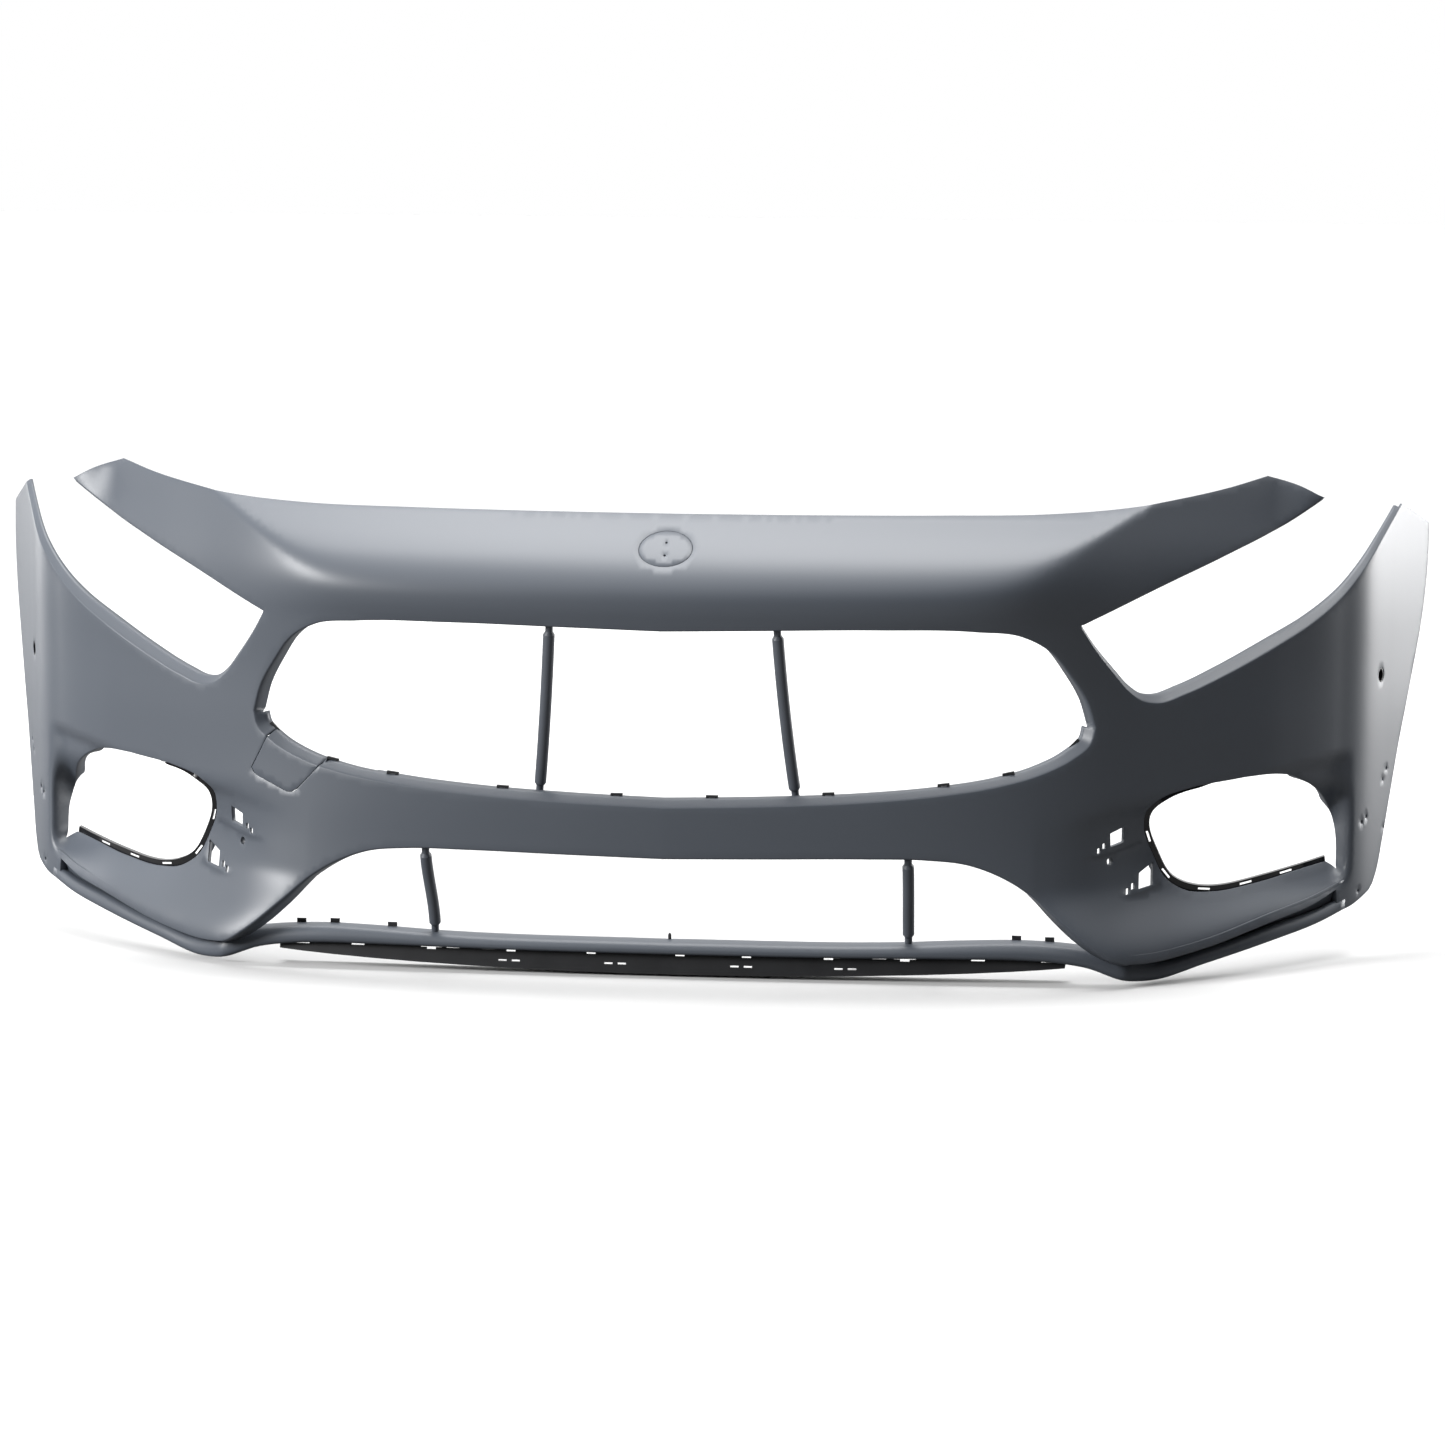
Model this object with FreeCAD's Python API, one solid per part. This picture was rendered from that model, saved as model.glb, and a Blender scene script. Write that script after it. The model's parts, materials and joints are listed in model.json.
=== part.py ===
import FreeCAD, Part
import os
from math import sqrt, pi, sin, cos, atan2

# Front bumper cover of a compact car, millimetres.
# Modelling axes: X across the car, Y towards the rear, Z up; Y = 0, Z = 0 is the V-shaped kink
# on the upper front edge of the centre bar.  Every solid is moved at the end so that the middle
# of the upper screw line is the origin.
SKIN = 3.0
HALF_WIDTH = 905.0
Z_LOW = -215.0
Z_HIGH = 390.0
SCREW_Y = 99.0
SCREW_Z = 332.0
SCREW_R = 3.5
SCREW_PITCH = 130.0
SENSOR_R = 9.5
SENSOR_AT = (838.0, 128.0)
CAP_GAP = 1.2
LIP_DEPTH = 30.0
STRUT_R = 6.9
NECK_R = 4.5
NECK_LENGTH = 8.0
V = FreeCAD.Vector

# Side profile of the nose (height, depth), plan of the corners (half width, depth), extra lean
# with height, and the blend radius between the nose and the corners (height, radius).
NOSE = [(-215, 14), (-58, 10), (0, 4), (60, 0), (120, -6), (180, -12), (215, -15), (235, -20),
        (252, -18), (272, -6), (290, 12), (305, 32), (345, 95), (395, 172)]
PLAN = [(430, -4), (500, 46), (560, 92), (640, 150), (720, 212), (785, 275), (822, 322), (850, 385),
        (905, 520)]
LEAN = [(-215, 2), (-120, -2), (0, 0), (90, -3), (150, 0), (218, 3), (276, 14), (347, 44), (395, 66)]
BLEND = [(-215, 55), (220, 55), (280, 25), (330, 10), (395, 8)]
BLADE_TOP = [(430, 0), (500, 6), (560, 20), (600, 26), (700, 42), (776, 54), (830, 54)]
BLADE_LOW = [(430, 0), (480, -20), (532, -34), (600, -28), (700, -13), (787, 0), (850, 0)]
BLADE_EDGE = [(430, -130), (532, -180), (560, -181), (632, -171), (710, -150), (760, -138), (800, -124)]


def curve(pts, t):
    """Smooth curve through the stations; straight on beyond both ends."""
    n = len(pts)
    d = [(pts[i + 1][1] - pts[i][1]) / (pts[i + 1][0] - pts[i][0]) for i in range(n - 1)]
    if t <= pts[0][0]:
        return pts[0][1] + (t - pts[0][0]) * d[0]
    if t >= pts[-1][0]:
        return pts[-1][1] + (t - pts[-1][0]) * d[-1]
    i = max(k for k in range(n - 1) if pts[k][0] <= t)
    h = pts[i + 1][0] - pts[i][0]

    def slope(k):
        if k == 0:
            return d[0]
        if k == n - 1:
            return d[-1]
        a = pts[k][0] - pts[k - 1][0]
        b = pts[k + 1][0] - pts[k][0]
        return (d[k - 1] * b + d[k] * a) / (a + b)
    s = (t - pts[i][0]) / h
    return ((2 * s ** 3 - 3 * s ** 2 + 1) * pts[i][1] + (s ** 3 - 2 * s ** 2 + s) * h * slope(i)
            + (3 * s ** 2 - 2 * s ** 3) * pts[i + 1][1] + (s ** 3 - s ** 2) * h * slope(i + 1))


def ease(a, b, t):
    """Smooth step from 0 at a to 1 at b."""
    s = min(1.0, max(0.0, (t - a) / (b - a)))
    return s * s * (3 - 2 * s)


def front_y(x, z):
    """Depth of the outer face at a place in the front view."""
    x = abs(x)
    nose = -8 + 1.25e-4 * x * x + curve(NOSE, z)
    side = curve(PLAN, x) + curve(LEAN, z) * (1 - 0.72 * ease(700, 775, x))
    r = curve(BLEND, z)
    y = 0.5 * (nose + side + sqrt((nose - side) ** 2 + r * r))
    # scoop beside the intake, then the blade panel below it
    low = 0.0 if z > -90 else 1.0 - ease(curve(BLADE_EDGE, x), -90, z)
    near = 1 - ease(778, 806, x)
    y += near * (1 - low) * curve(BLADE_TOP, max(x, 430)) * (1 - ease(-55, 15, z))
    y += near * low * curve(BLADE_LOW, max(x, 430))
    # brow above the scoop
    below = (21 - 0.183 * (668 - x)) - z
    y += 12 * ease(450, 600, x) * ease(-2, 14, below) * near * (1 - ease(60, 110, below))
    return y


def slope_factor(x, z):
    """Depth through the skin per unit of wall thickness."""
    fx = (front_y(x + 1, z) - front_y(x - 1, z)) / 2
    fz = (front_y(x, z + 1) - front_y(x, z - 1)) / 2
    return sqrt(1 + fx * fx + fz * fz)


def back_y(x, z, t=SKIN):
    return front_y(x, z) + t * slope_factor(x, z)


def normal_at(x, z):
    """Unit vector pointing out of the outer face, towards the front."""
    fx = (front_y(x + 1, z) - front_y(x - 1, z)) / 2
    fz = (front_y(x, z + 1) - front_y(x, z - 1)) / 2
    n = V(fx, -1, fz)
    n.normalize()
    return n


def grid_face(depth, x_knots, z_knots):
    """Cubic spline face over the front view; X and Z are its own parameters."""
    def stations(knots):
        full = [knots[0]] * 3 + knots + [knots[-1]] * 3
        return [sum(full[i + 1:i + 4]) / 3.0 for i in range(len(full) - 4)]
    poles = [[V(x, depth(x, z), z) for z in stations(z_knots)] for x in stations(x_knots)]
    s = Part.BSplineSurface()
    x_mults = [4] + [1] * (len(x_knots) - 2) + [4]
    z_mults = [4] + [1] * (len(z_knots) - 2) + [4]
    s.buildFromPolesMultsKnots(poles, x_mults, z_mults, x_knots, z_knots, False, False, 3, 3)
    return s


def blank():
    """Skin without openings, a closed solid between two spline faces."""
    nx = 80
    nz = 52
    xs = [-HALF_WIDTH + 2 * HALF_WIDTH * i / nx for i in range(nx + 1)]
    zs = [Z_LOW + (Z_HIGH - Z_LOW) * j / nz for j in range(nz + 1)]
    outer = grid_face(front_y, xs, zs)
    inner = grid_face(back_y, xs, zs)
    faces = [outer.toShape(), inner.toShape()]
    for a, b in ((0, None), (1, None), (None, 0), (None, 1)):
        pair = []
        for s in (outer, inner):
            u0, u1, v0, v1 = s.bounds()
            if a is not None:
                pair.append(s.uIso(u0 if a == 0 else u1).toShape())
            else:
                pair.append(s.vIso(v0 if b == 0 else v1).toShape())
        faces.append(Part.makeRuledSurface(pair[0], pair[1]))
    shell = Part.makeShell(faces)
    shell.sewShape()
    solid = Part.makeSolid(shell)
    if solid.Volume < 0:
        solid.reverse()
    return solid


def mirrored(pts):
    """The outline's left half, walked the other way."""
    return [(-x, z) for x, z in reversed(pts)]


def smooth_edge(pts):
    """Spline edge in the XZ plane through the points."""
    s = Part.BSplineCurve()
    s.interpolate([V(x, 0, z) for x, z in pts])
    return s.toShape()


def line(a, b):
    return Part.makeLine(V(a[0], 0, a[1]), V(b[0], 0, b[1]))


def outline(stretches):
    """Closed wire in the XZ plane; every stretch is a list of points, splined if it has over two."""
    edges = []
    for pts in stretches:
        edges.append(line(pts[0], pts[1]) if len(pts) == 2 else smooth_edge(pts))
    return Part.Wire(edges)


def prism(wire, y0=-120, y1=640):
    w = wire.copy()
    w.translate(V(0, y0, 0))
    return Part.Face(w).extrude(V(0, y1 - y0, 0))


def poly_prism(pts, y0=-120, y1=640):
    w = Part.makePolygon([V(x, 0, z) for x, z in pts + pts[:1]])
    return prism(w, y0, y1)


def loft(sections, smooth=True):
    """Solid through closed sections, each a list of corner points."""
    wires = [Part.makePolygon([V(*p) for p in s + s[:1]]) for s in sections]
    solid = Part.makeLoft(wires, True, not smooth)
    if solid.Volume < 0:
        solid.reverse()
    return solid


def mirror(shape):
    return shape.mirror(V(0, 0, 0), V(1, 0, 0))


# Outlines in the front view, right half (the tow eye cap's is on the left).
TOP_EDGE = [(0, 338), (188, 338.5), (317, 339.5), (437, 341.5), (518, 347), (584, 355.5), (650, 367),
            (694, 378)]
WING_TIP = [(694, 378), (734, 365), (760, 352)]
WING_LOW = [(760, 352), (716, 325), (647, 293), (581, 264.5), (479, 218)]
LAMP = [(479, 218), (497, 188), (520, 156), (537, 135), (553, 123), (573, 119.5), (602, 128), (654, 150),
        (711, 179), (752, 203), (787, 231), (815, 265), (838, 299), (860, 332)]
ARM_TOP = [(860, 332), (899, 301)]
ARM_SIDE = [(899, 301), (930, 301)]
FLANK_OUT = [(930, 301), (930, -60)]
FLANK_LOW = [(930, -60), (858, -112), (828, -134), (806, -147), (790, -152)]
NOTCH = [(790, -152), (788, -124)]
BLADE_LOW_EDGE = [(788, -124), (760, -137), (710, -150), (632, -171), (560, -181), (540, -180)]
BRIDGE = [(540, -180), (530, -177), (512, -166), (462, -126), (424, -94), (390, -74), (354, -61),
          (307, -55.5), (235, -54.5), (120, -56), (0, -58)]
GRILLE_TOP = [(0, 212), (118, 214.5), (250, 216.5), (362, 214.5), (415, 208), (447, 190), (470, 161),
              (490, 128), (500, 96)]
GRILLE_LOW = [(500, 96), (495, 77), (473, 58), (437, 41), (389, 28), (329, 18.5), (235, 9.5), (118, 3.5),
              (0, 0)]
INTAKE = [(788, -104), (785, -54), (775, -22), (760, 2), (740, 17), (716, 24.5), (685, 26.5), (657, 24),
          (610, 18), (574, 6), (558, -11), (556, -32), (567, -64), (582, -92), (606, -108), (639, -113),
          (690, -109), (745, -101), (776, -97)]
INTAKE_TIP = [(776, -97), (788, -104)]
RAIL = [(640, 21), (608, 13.5), (580, 3), (565, -12), (563, -30), (574, -62), (588, -87), (609, -100),
        (639, -106), (690, -102), (745, -95), (774, -91)]
CAP = [(-478, 72), (-503, 27), (-500, 21), (-495, 17.5), (-456, 1), (-449, 1), (-443, 4.5), (-411, 38)]
FLANK_EDGE = [(506, 330), (510, 301), (503, 240), (490, 185), (450, 92), (427, 42), (400, -25), (377, -80),
              (362, -112), (344, -134), (310, -150), (250, -170)]
LIP_TOP = [(0, -169), (284, -166), (345, -163), (430, -161.5), (480, -165), (533, -174), (560, -184),
           (632, -176), (707, -159), (771, -145), (800, -134)]
LIP_LOW = [(0, -183), (200, -182.5), (345, -181), (415, -181), (455, -183), (495, -189), (533, -202),
           (568, -206), (632, -193), (707, -176), (771, -160), (806, -147)]


def lip_front(x):
    """Depth of the lower lip's front face."""
    x = abs(x)
    inner = 54 + 15 * (x / 533) ** 2
    outer = curve(PLAN, x) - 6 * (1 - ease(560, 780, x))
    return inner if x < 520 else max(inner, outer)


def half_loop(right):
    """Closed loop of a symmetric outline given its right half from centre top to centre bottom."""
    left = [mirrored(s) for s in reversed(right)]
    return outline(right + left)


def main_panel():
    """The blank trimmed to its outline, with the openings cut."""
    right = [TOP_EDGE, WING_TIP, WING_LOW, LAMP, ARM_TOP, ARM_SIDE, FLANK_OUT, FLANK_LOW, NOTCH,
             BLADE_LOW_EDGE, BRIDGE]
    around = Part.makeBox(2000, 760, 800, V(-1000, -120, -300)).cut(prism(half_loop(right)))
    body = blank().cut(around)
    grille = prism(half_loop([GRILLE_TOP, GRILLE_LOW]))
    intake = prism(outline([INTAKE, INTAKE_TIP]))
    body = body.cut(grille).cut(intake).cut(mirror(intake))
    # wheel-arch edge, cut in the side view
    s = Part.BSplineCurve()
    s.interpolate([V(-960, y, z) for y, z in FLANK_EDGE])
    edge = s.toShape()
    a = V(-960, FLANK_EDGE[-1][0], FLANK_EDGE[-1][1])
    b = V(-960, FLANK_EDGE[0][0], FLANK_EDGE[0][1])
    behind_a = V(-960, 700, a.z)
    behind_b = V(-960, 700, b.z)
    w = Part.Wire([edge, Part.makeLine(a, behind_a), Part.makeLine(behind_a, behind_b),
                   Part.makeLine(behind_b, b)])
    return body.cut(Part.Face(w).extrude(V(1920, 0, 0)))


def along(pts, step):
    """Evenly spaced stations on the spline through the points, with the unit tangent."""
    s = Part.BSplineCurve()
    s.interpolate([V(x, 0, z) for x, z in pts])
    n = max(2, int(round(s.length() / step)))
    out = []
    for i in range(n + 1):
        u = s.parameterAtDistance(s.length() * i / n, s.FirstParameter)
        p = s.value(u)
        t = s.tangent(u)[0]
        out.append((p.x, p.z, t.x, t.z))
    return out


def edge_flange(pts, side, rise, depth, thick=2.6, step=28, start=1.0, taper=None):
    """Return flange along an outline: side +1/-1 picks which side of the travel is the opening."""
    sections = []
    stations = along(pts, step)
    for i, (x, z, tx, tz) in enumerate(stations):
        k = 1.0 if taper is None else taper(i / (len(stations) - 1.0))
        nx = -tz * side
        nz = tx * side
        y = front_y(x, z)
        r = rise * k
        d = depth * k + 4 * (1 - k)
        sections.append([(x - nx * 0.2, y + start, z - nz * 0.2), (x + nx * r, y + d, z + nz * r),
                         (x + nx * (r - thick), y + d, z + nz * (r - thick)),
                         (x - nx * thick, y + start + 1.0, z - nz * thick)])
    return loft(sections)


def lower_lip():
    """Full-width lip below the lower opening: a flat top and a rounded front face."""
    sections = []
    n = 48
    for i in range(n + 1):
        x = -800 + 1600.0 * i / n
        yf = lip_front(x)
        zt = curve(LIP_TOP, abs(x))
        zb = curve(LIP_LOW, abs(x))
        h = zt - zb
        face = [(yf + LIP_DEPTH, zt + 0.5), (yf + 10, zt), (yf + 2.5, zt - 0.3 * h), (yf, zb + 0.25 * h),
                (yf + 6, zb), (yf + 8, zb + 3), (yf + 3.6, zb + 0.25 * h + 1.5),
                (yf + 6, zt - 0.3 * h - 1.0), (yf + 11, zt - 3), (yf + LIP_DEPTH, zt - 2.5)]
        sections.append([(x, y, z) for y, z in face])
    return loft(sections, smooth=False)


def recess_wall():
    """Back wall of the recess between the blade panel and the lip."""
    sections = []
    for i in range(13):
        x = 572 + (786 - 572) * i / 12.0
        yf = lip_front(x)
        zt = curve(LIP_TOP, x)
        zb = curve(BLADE_EDGE, x) + 7
        yb = front_y(x, zb)
        k = slope_factor(x, zb)
        sections.append([(x, yf + 20, zt - 2), (x, yb + 1.2 * k, zb), (x, yb + 2.6 * k, zb + 3),
                         (x, yf + 24, zt - 2)])
    return loft(sections)


def top_flange():
    """Level flange behind the upper edge, with the row of screw holes."""
    sections = []
    for i in range(17):
        x = -432 + 864.0 * i / 16
        y = front_y(x, SCREW_Z)
        rear = max(y + 34, 108)
        sections.append([(x, y + 2, SCREW_Z), (x, rear, SCREW_Z), (x, rear, SCREW_Z - SKIN),
                         (x, y + 2, SCREW_Z - SKIN)])
    f = loft(sections)
    for k in (-1.5, -0.5, 0.5, 1.5):
        f = f.cut(Part.makeCylinder(SCREW_R, 20, V(k * SCREW_PITCH, SCREW_Y, SCREW_Z - 10)))
    return f


def hole_through(x, z, r, length=30):
    """Drill centred on the outer face, square to it."""
    n = normal_at(x, z)
    p = V(x, front_y(x, z), z)
    return Part.makeCylinder(r, length, p + n * (length / 2.0), n * -1)


# Small features on the right half: place in the front view and radius, or corner points.
RIVETS = [(848, 10, 2.6), (843.5, -2, 2.6), (823, -41.5, 2.6), (817.5, -47, 2.6), (815, -131, 2.4),
          (846, -62, 2.2)]
FIN_WINDOWS = [[(536, -26.5), (521, -33), (521.5, -48.5), (536, -44.5)],
               [(570, -73), (555, -83.5), (555, -100), (570, -97)]]
FIN_SLOTS = [(511, -47), (505, -52), (545, -97), (539, -102)]
PIN_HOLE = (518, -66, 5.0)
BADGE_AT = (0.0, 302.0)
BADGE_R = 31.75
CLIPS = [56, 192, 326, 401.5, 482.5]


def cap_outline(grow):
    """Outline of the tow eye cover on the -X side, moved outwards by grow."""
    cx = sum(x for x, z in CAP) / len(CAP)
    cz = sum(z for x, z in CAP) / len(CAP)
    out = []
    for x, z in CAP:
        d = sqrt((x - cx) ** 2 + (z - cz) ** 2)
        out.append((x + (x - cx) / d * grow, z + (z - cz) / d * grow))
    return out


def shell_of_skin():
    """The one-piece moulding with its return flanges, before the small holes."""
    body = main_panel().fuse(lower_lip())
    wall = recess_wall()
    bevel = edge_flange(GRILLE_LOW, -1, 9.5, 13)
    lamp = edge_flange(LAMP[:-1] + [(852, 320)], 1, 8.0, 13,
                       taper=lambda s: 0.25 + 0.75 * ease(0.0, 0.25, s) * (1 - 0.6 * ease(0.5, 1.0, s)))
    for p in (wall, bevel, lamp):
        body = body.fuse(p).fuse(mirror(p))
    nose = edge_flange(mirrored(GRILLE_TOP) + GRILLE_TOP[1:], -1, 0.0, 22)
    under = edge_flange(BRIDGE[4:] + mirrored(BRIDGE[4:])[1:], 1, 0.0, 24)
    for p in (nose, under, top_flange(), bar_shelf()):
        body = body.fuse(p)
    return body


def bar_shelf():
    """Shelf behind the upper edge of the centre bar, reaching back to the struts."""
    sections = []
    for i in range(15):
        x = -350 + 700.0 * i / 14
        z = edge_height(x) + 5.0
        y = front_y(x, z)
        sections.append([(x, y + 9, z), (x, y + 56, z - 1), (x, y + 56, z - 4), (x, y + 9, z - 3)])
    return loft(sections)


def small_holes():
    """Tools for the rivet holes, sensor holes, fin windows and slots and badge holes."""
    tools = []
    for x, z, r in RIVETS:
        tools.append(hole_through(x, z, r))
    tools.append(hole_through(SENSOR_AT[0], SENSOR_AT[1], SENSOR_R, 40))
    x, z, r = PIN_HOLE
    tools.append(hole_through(x, z, r))
    for pts in FIN_WINDOWS:
        tools.append(poly_prism(pts, 20, 260))
    for x, z in FIN_SLOTS:
        tools.append(poly_prism([(x - 2, z - 4), (x + 2, z - 3), (x + 2, z + 4), (x - 2, z + 3)], 20, 260))
    tools += [mirror(t) for t in tools]
    for z in (308.5, 295.5):
        tools.append(hole_through(0, z, 1.8))
    return tools


def cover_skin():
    """The finished moulding."""
    body = shell_of_skin()
    n = normal_at(*BADGE_AT)
    p = V(0, front_y(*BADGE_AT), BADGE_AT[1])
    ring = Part.makeCylinder(BADGE_R, 8, p + n * 4.0, n * -1)
    ring = ring.cut(Part.makeCylinder(BADGE_R - 1.0, 8, p + n * 4.0, n * -1))
    groove = ring.common(offset_slab(0.7))
    body = body.cut(groove)
    body = body.cut(poly_prism(cap_outline(0.0), -40, 160))
    for t in small_holes():
        body = body.cut(t)
    return body


def offset_slab(depth):
    """Thin slab under the outer face around the badge, used for a shallow groove."""
    sections = []
    for i in range(9):
        z = 255 + 95.0 * i / 8
        row = [(x, front_y(x, z) - 4, z) for x in (-60, 60)]
        deep = [(x, front_y(x, z) + depth, z) for x in (60, -60)]
        sections.append(row + deep)
    return loft(sections)


def tow_eye_cap():
    """Cap cut from the same surface, with the bevel along its upper edge."""
    xs = (-530, -390)
    box = Part.makeBox(xs[1] - xs[0], 300, 110, V(xs[0], -60, -15))
    keep = poly_prism(cap_outline(-CAP_GAP), -40, 160)
    panel = blank().common(box)
    grille = prism(half_loop([GRILLE_TOP, GRILLE_LOW]))
    bevel = mirror(edge_flange(GRILLE_LOW, -1, 9.5, 13))
    return biggest(panel.cut(grille).fuse(bevel).common(keep))


def along_normal(x, z, start, length, r):
    """Cylinder running inwards from a depth below the outer face, square to it."""
    n = normal_at(x, z)
    p = V(x, front_y(x, z), z)
    return Part.makeCylinder(r, length, p - n * start, n * -1)


def biggest(shape):
    return max(shape.Solids, key=lambda s: s.Volume)


def sensor_retainer(skin):
    """Boss behind the sensor hole with four locking pegs."""
    x, z = SENSOR_AT
    boss = along_normal(x, z, 2.0, 17, 15.0).cut(along_normal(x, z, 0.0, 30, SENSOR_R + 1.6))
    n = normal_at(x, z)
    centre = V(x, front_y(x, z), z) - n * 15.0
    for k in range(4):
        a = pi / 4 + k * pi / 2
        u = n.cross(V(0, 0, 1))
        u.normalize()
        w = n.cross(u)
        d = u * cos(a) + w * sin(a)
        boss = boss.fuse(Part.makeCylinder(2.2, 7, centre + d * 13.5, d))
    return biggest(boss.cut(skin))


def sensor_ring():
    """Thin ring lining the sensor hole."""
    x, z = SENSOR_AT
    return along_normal(x, z, 0.8, 16, SENSOR_R - 0.1).cut(along_normal(x, z, 0.0, 30, SENSOR_R - 2.4))


def intake_rail():
    """Trim rail inside the intake edge: flat strip with a lip, pierced by narrow windows."""
    sections = []
    stations = along(RAIL, 16)
    for x, z, tx, tz in stations:
        nx, nz = tz, -tx
        y = front_y(x + nx * 7, z + nz * 7) + 4.0 * slope_factor(x + nx * 7, z + nz * 7)
        face = [(0.0, 0.0), (9.5, 0.0), (9.5, 2.5), (2.4, 2.5), (2.0, 10.0), (0.0, 10.0)]
        sections.append([(x + nx * w, y + d, z + nz * w) for w, d in face])
    rail = loft(sections)
    n = len(stations)
    for i in range(7, n - 2, 3):
        x, z, tx, tz = stations[i]
        nx, nz = tz, -tx
        y = front_y(x, z)
        c = [(x + nx * 2.6 - tx * 7, z + nz * 2.6 - tz * 7), (x + nx * 5.0 - tx * 7, z + nz * 5.0 - tz * 7),
             (x + nx * 5.0 + tx * 7, z + nz * 5.0 + tz * 7), (x + nx * 2.6 + tx * 7, z + nz * 2.6 + tz * 7)]
        rail = rail.cut(poly_prism(c, y - 40, y + 80))
    return rail


UPPER_STRUT = [(132.6, -3.0, 214.1), (141, 22, 105), (151.3, 50.0, 10.6)]
LOWER_STRUT = [(284.6, 33, -56.2), (284.6, 46, -85), (284, 66, -135), (283.6, 78, -164.6)]
LOWER_STRUT_BENT = [(284.6, 33, -56.2), (285, 40, -72), (283.4, 54, -102), (280.6, 66, -134),
                    (280.8, 78, -164.6)]


def strut(path):
    """Break-off brace: round bar with necked ends along the points of the path."""
    s = Part.BSplineCurve()
    s.interpolate([V(*p) for p in path])
    length = s.length()
    n = 10
    stops = [(0.0, NECK_R), (NECK_LENGTH, NECK_R), (NECK_LENGTH + 4.0, STRUT_R)]
    span = length - 2 * (NECK_LENGTH + 4.0)
    stops += [(NECK_LENGTH + 4.0 + span * i / n, STRUT_R) for i in range(1, n)]
    stops += [(length - d, r) for d, r in reversed(stops[:3])]
    rings = []
    for d, r in stops:
        u = s.parameterAtDistance(d, s.FirstParameter)
        rings.append(Part.Wire([Part.makeCircle(r, s.value(u), s.tangent(u)[0])]))
    bar = Part.makeLoft(rings, True, True)
    if bar.Volume < 0:
        bar.reverse()
    return bar


STRIP_SLOTS = [14, 93, -92, -188, 190, -284, 280]
STRIP_WINDOWS = [-440, -373, -258, -152, -215, -13, 128, 195, 250, 366, 448, -100]


def lower_strip():
    """Black mounting strip behind and below the lip, with T-slots and windows."""
    sections = []
    for i in range(19):
        x = -468 + 936.0 * i / 18
        drop = 19.5 * (1 - (x / 480.0) ** 2) ** 0.8 + 2.0
        yf = lip_front(x) + 12
        top = curve(LIP_LOW, abs(x)) + 8.5
        low = -183.5 - drop
        sections.append([(x, yf, top), (x, yf + 3, top), (x, yf - 1, low), (x, yf + 30, low - 1),
                         (x, yf + 30, low - 3.5), (x, yf - 4, low - 2.5)])
    strip = loft(sections)
    cuts = []
    for x in STRIP_SLOTS:
        cuts.append(Part.makeBox(26, 60, 3.6, V(x - 13, 40, -183.5)))
        cuts.append(Part.makeBox(11, 60, 3.0, V(x - 5.5, 40, -186.0)))
    for x in STRIP_WINDOWS:
        cuts.append(Part.makeBox(16, 60, 3.4, V(x - 8, 40, -183.8)))
    for x in (-190, -63, 87, 210):
        cuts.append(Part.makeBox(10, 20, 2.4, V(x - 13, 52, -197.5)))
        cuts.append(Part.makeBox(10, 20, 2.4, V(x + 3, 52, -197.5)))
    for c in cuts:
        strip = strip.cut(c)
    return strip


def edge_height(x):
    """Height of the lower edge of the upper opening."""
    return curve(EDGE_LINE, abs(x))


def clip_at(x, w=14.0):
    """Small moulded clip tab on the back of the bevel, square to the edge."""
    z = edge_height(x)
    y = front_y(x, z)
    lean = 0.0
    if abs(x) > 60:
        lean = atan2(edge_height(x + 5) - edge_height(x - 5), 10.0)
    tab = Part.makeBox(w, 5, 13, V(-w / 2, 0, -8.0))
    tab = tab.cut(Part.makeBox(w - 7, 9, 3.0, V(-(w - 7) / 2, -2, -0.5)))
    tab.rotate(V(0, 0, 0), V(0, 1, 0), -lean * 180 / pi)
    tab.translate(V(x - 8.5 * sin(lean), y + 14.5, z + 8.5 * cos(lean)))
    return tab


EDGE_LINE = [(0, 0), (118, 3.5), (235, 9.5), (329, 18.5), (389, 28), (437, 41), (473, 58), (492, 77)]


def loop_clip(x, y, z, r, tube):
    """Wire-like moulded loop that hooks over the fender edge."""
    return Part.makeTorus(r, tube, V(x, y, z), V(0.2, 0.25, 1))


def fender_loops(skin):
    """Two loops at the top of the arm, behind the lamp edge."""
    loops = []
    for x, z, r in ((866, 320, 6.0), (858, 303, 4.2)):
        loops.append(loop_clip(x - 2, front_y(x, z) + 11, z, r, 1.3))
    return Part.makeCompound([biggest(a.cut(skin)) for a in loops])


def lip_tabs():
    """Low tabs standing on the rear edge of the lip."""
    tabs = []
    for x in (-445, -404, -334, 410, 449):
        y = lip_front(x) + 27
        z = curve(LIP_TOP, abs(x))
        tabs.append(Part.makeBox(11, 2.4, 5, V(x - 5.5, y, z + 0.6)))
    return Part.makeCompound(tabs)


def centre_pin():
    """Locating pin standing on the middle of the lip."""
    z = curve(LIP_TOP, 0)
    shank = Part.makeCylinder(2.0, 5.5, V(0, 81, z + 0.6))
    return shank.fuse(Part.makeCone(2.0, 0.6, 2.0, V(0, 81, z + 6.1)))


def move(shape):
    s = shape.copy()
    s.translate(V(0, -SCREW_Y, -SCREW_Z))
    return s


def save(shape, name):
    parts = shape.Solids
    out = parts[0] if len(parts) == 1 else Part.makeCompound(parts)
    move(out).exportStep("parts/" + name + ".step")
    print("%-24s solids %d volume %.0f valid %s" % (name, len(parts), out.Volume, out.isValid()))


def both(shape, name):
    save(shape, name + "_right")
    save(mirror(shape), name + "_left")


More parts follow.
